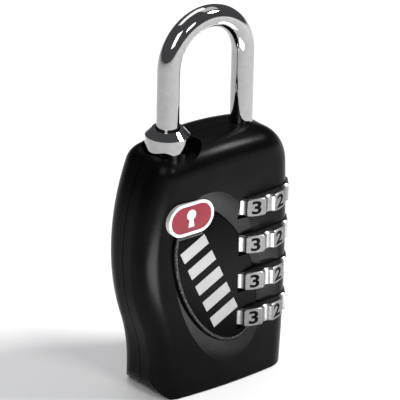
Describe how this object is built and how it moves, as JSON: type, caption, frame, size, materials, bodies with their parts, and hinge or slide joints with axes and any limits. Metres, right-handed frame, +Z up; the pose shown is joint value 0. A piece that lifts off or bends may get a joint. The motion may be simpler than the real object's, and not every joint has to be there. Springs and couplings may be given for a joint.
{
  "type": "luggage combination padlock",
  "caption": "Black travel padlock with a chrome U shackle in a collar, number dials along one side, an oval dished face with a badge, and a keyhole in its base.",
  "frame": {"origin": "on the flat bottom face, midway between the two legs of the shackle and half way through the thickness", "axes": "+Z up to the top of the shackle, -Y the face with the badge, +X the side where the dials stand out"},
  "size_m": [0.034, 0.0172, 0.0693],
  "materials": {
    "black_housing": "satin black coat on die-cast metal",
    "black_face": "satin black",
    "white_enamel": "gloss",
    "red_enamel": "gloss",
    "polished_chrome": "mirror polish",
    "satin_zinc": "satin",
    "inner_steel": "turned",
    "spring_steel": "drawn wire",
    "brass_parts": "turned",
    "black_steel": "satin"
  },
  "bodies": {
    "housing": {"front_shell": "black_housing", "rear_shell": "black_housing", "face_plate": "black_face", "badge": "white_enamel", "badge_enamel": "red_enamel", "toe_collar": "polished_chrome", "heel_bushing": "inner_steel", "shackle_spring": "spring_steel", "column_rings": "inner_steel", "key_cylinder_shell": "satin_zinc", "housing_screws": "black_steel", "click_spring_1": "spring_steel", "click_spring_2": "spring_steel", "click_spring_3": "spring_steel", "click_spring_4": "spring_steel"},
    "shackle": {"shackle": "polished_chrome", "spindle": "inner_steel", "spindle_carriage": "inner_steel"},
    "catch": {"catch_plate": "inner_steel"},
    "key_plug": {"key_plug": "brass_parts", "wafer_tumblers": "brass_parts", "wafer_springs": "spring_steel", "plug_clip": "spring_steel", "key_tailpiece": "inner_steel"},
    "dial_1": {"dial_1": "satin_zinc", "code_sleeve_1": "brass_parts"},
    "dial_2": {"dial_2": "satin_zinc", "code_sleeve_2": "brass_parts"},
    "dial_3": {"dial_3": "satin_zinc", "code_sleeve_3": "brass_parts"},
    "dial_4": {"dial_4": "satin_zinc", "code_sleeve_4": "brass_parts"}
  },
  "joints": [
    {"name": "shackle_lift", "type": "slide", "parent": "housing", "child": "shackle", "axis": [0, 0, 1], "range_m": [0, 0.006], "deforming": ["shackle_spring"]},
    {"name": "key_plug_turn", "type": "hinge", "parent": "housing", "child": "key_plug", "pos_m": [-0.006, 0, 0.005], "axis": [0, 0, 1], "range_deg": [0, 90]},
    {"name": "catch_slide", "type": "slide", "parent": "shackle", "child": "catch", "axis": [1, 0, 0], "range_m": [0, 0.002]},
    {"name": "dial_1_turn", "type": "hinge", "parent": "housing", "child": "dial_1", "pos_m": [0.0081, 0, 0.03315], "axis": [0, 0, 1], "continuous": true, "deforming": ["click_spring_1"]},
    {"name": "dial_2_turn", "type": "hinge", "parent": "housing", "child": "dial_2", "pos_m": [0.0081, 0, 0.02615], "axis": [0, 0, 1], "continuous": true, "deforming": ["click_spring_2"]},
    {"name": "dial_3_turn", "type": "hinge", "parent": "housing", "child": "dial_3", "pos_m": [0.0081, 0, 0.01915], "axis": [0, 0, 1], "continuous": true, "deforming": ["click_spring_3"]},
    {"name": "dial_4_turn", "type": "hinge", "parent": "housing", "child": "dial_4", "pos_m": [0.0081, 0, 0.01215], "axis": [0, 0, 1], "continuous": true, "deforming": ["click_spring_4"]}
  ],
  "couplings": [
    {"joint": "key_plug_turn", "follows": "catch_slide", "rad_per_m": 785.4}
  ]
}
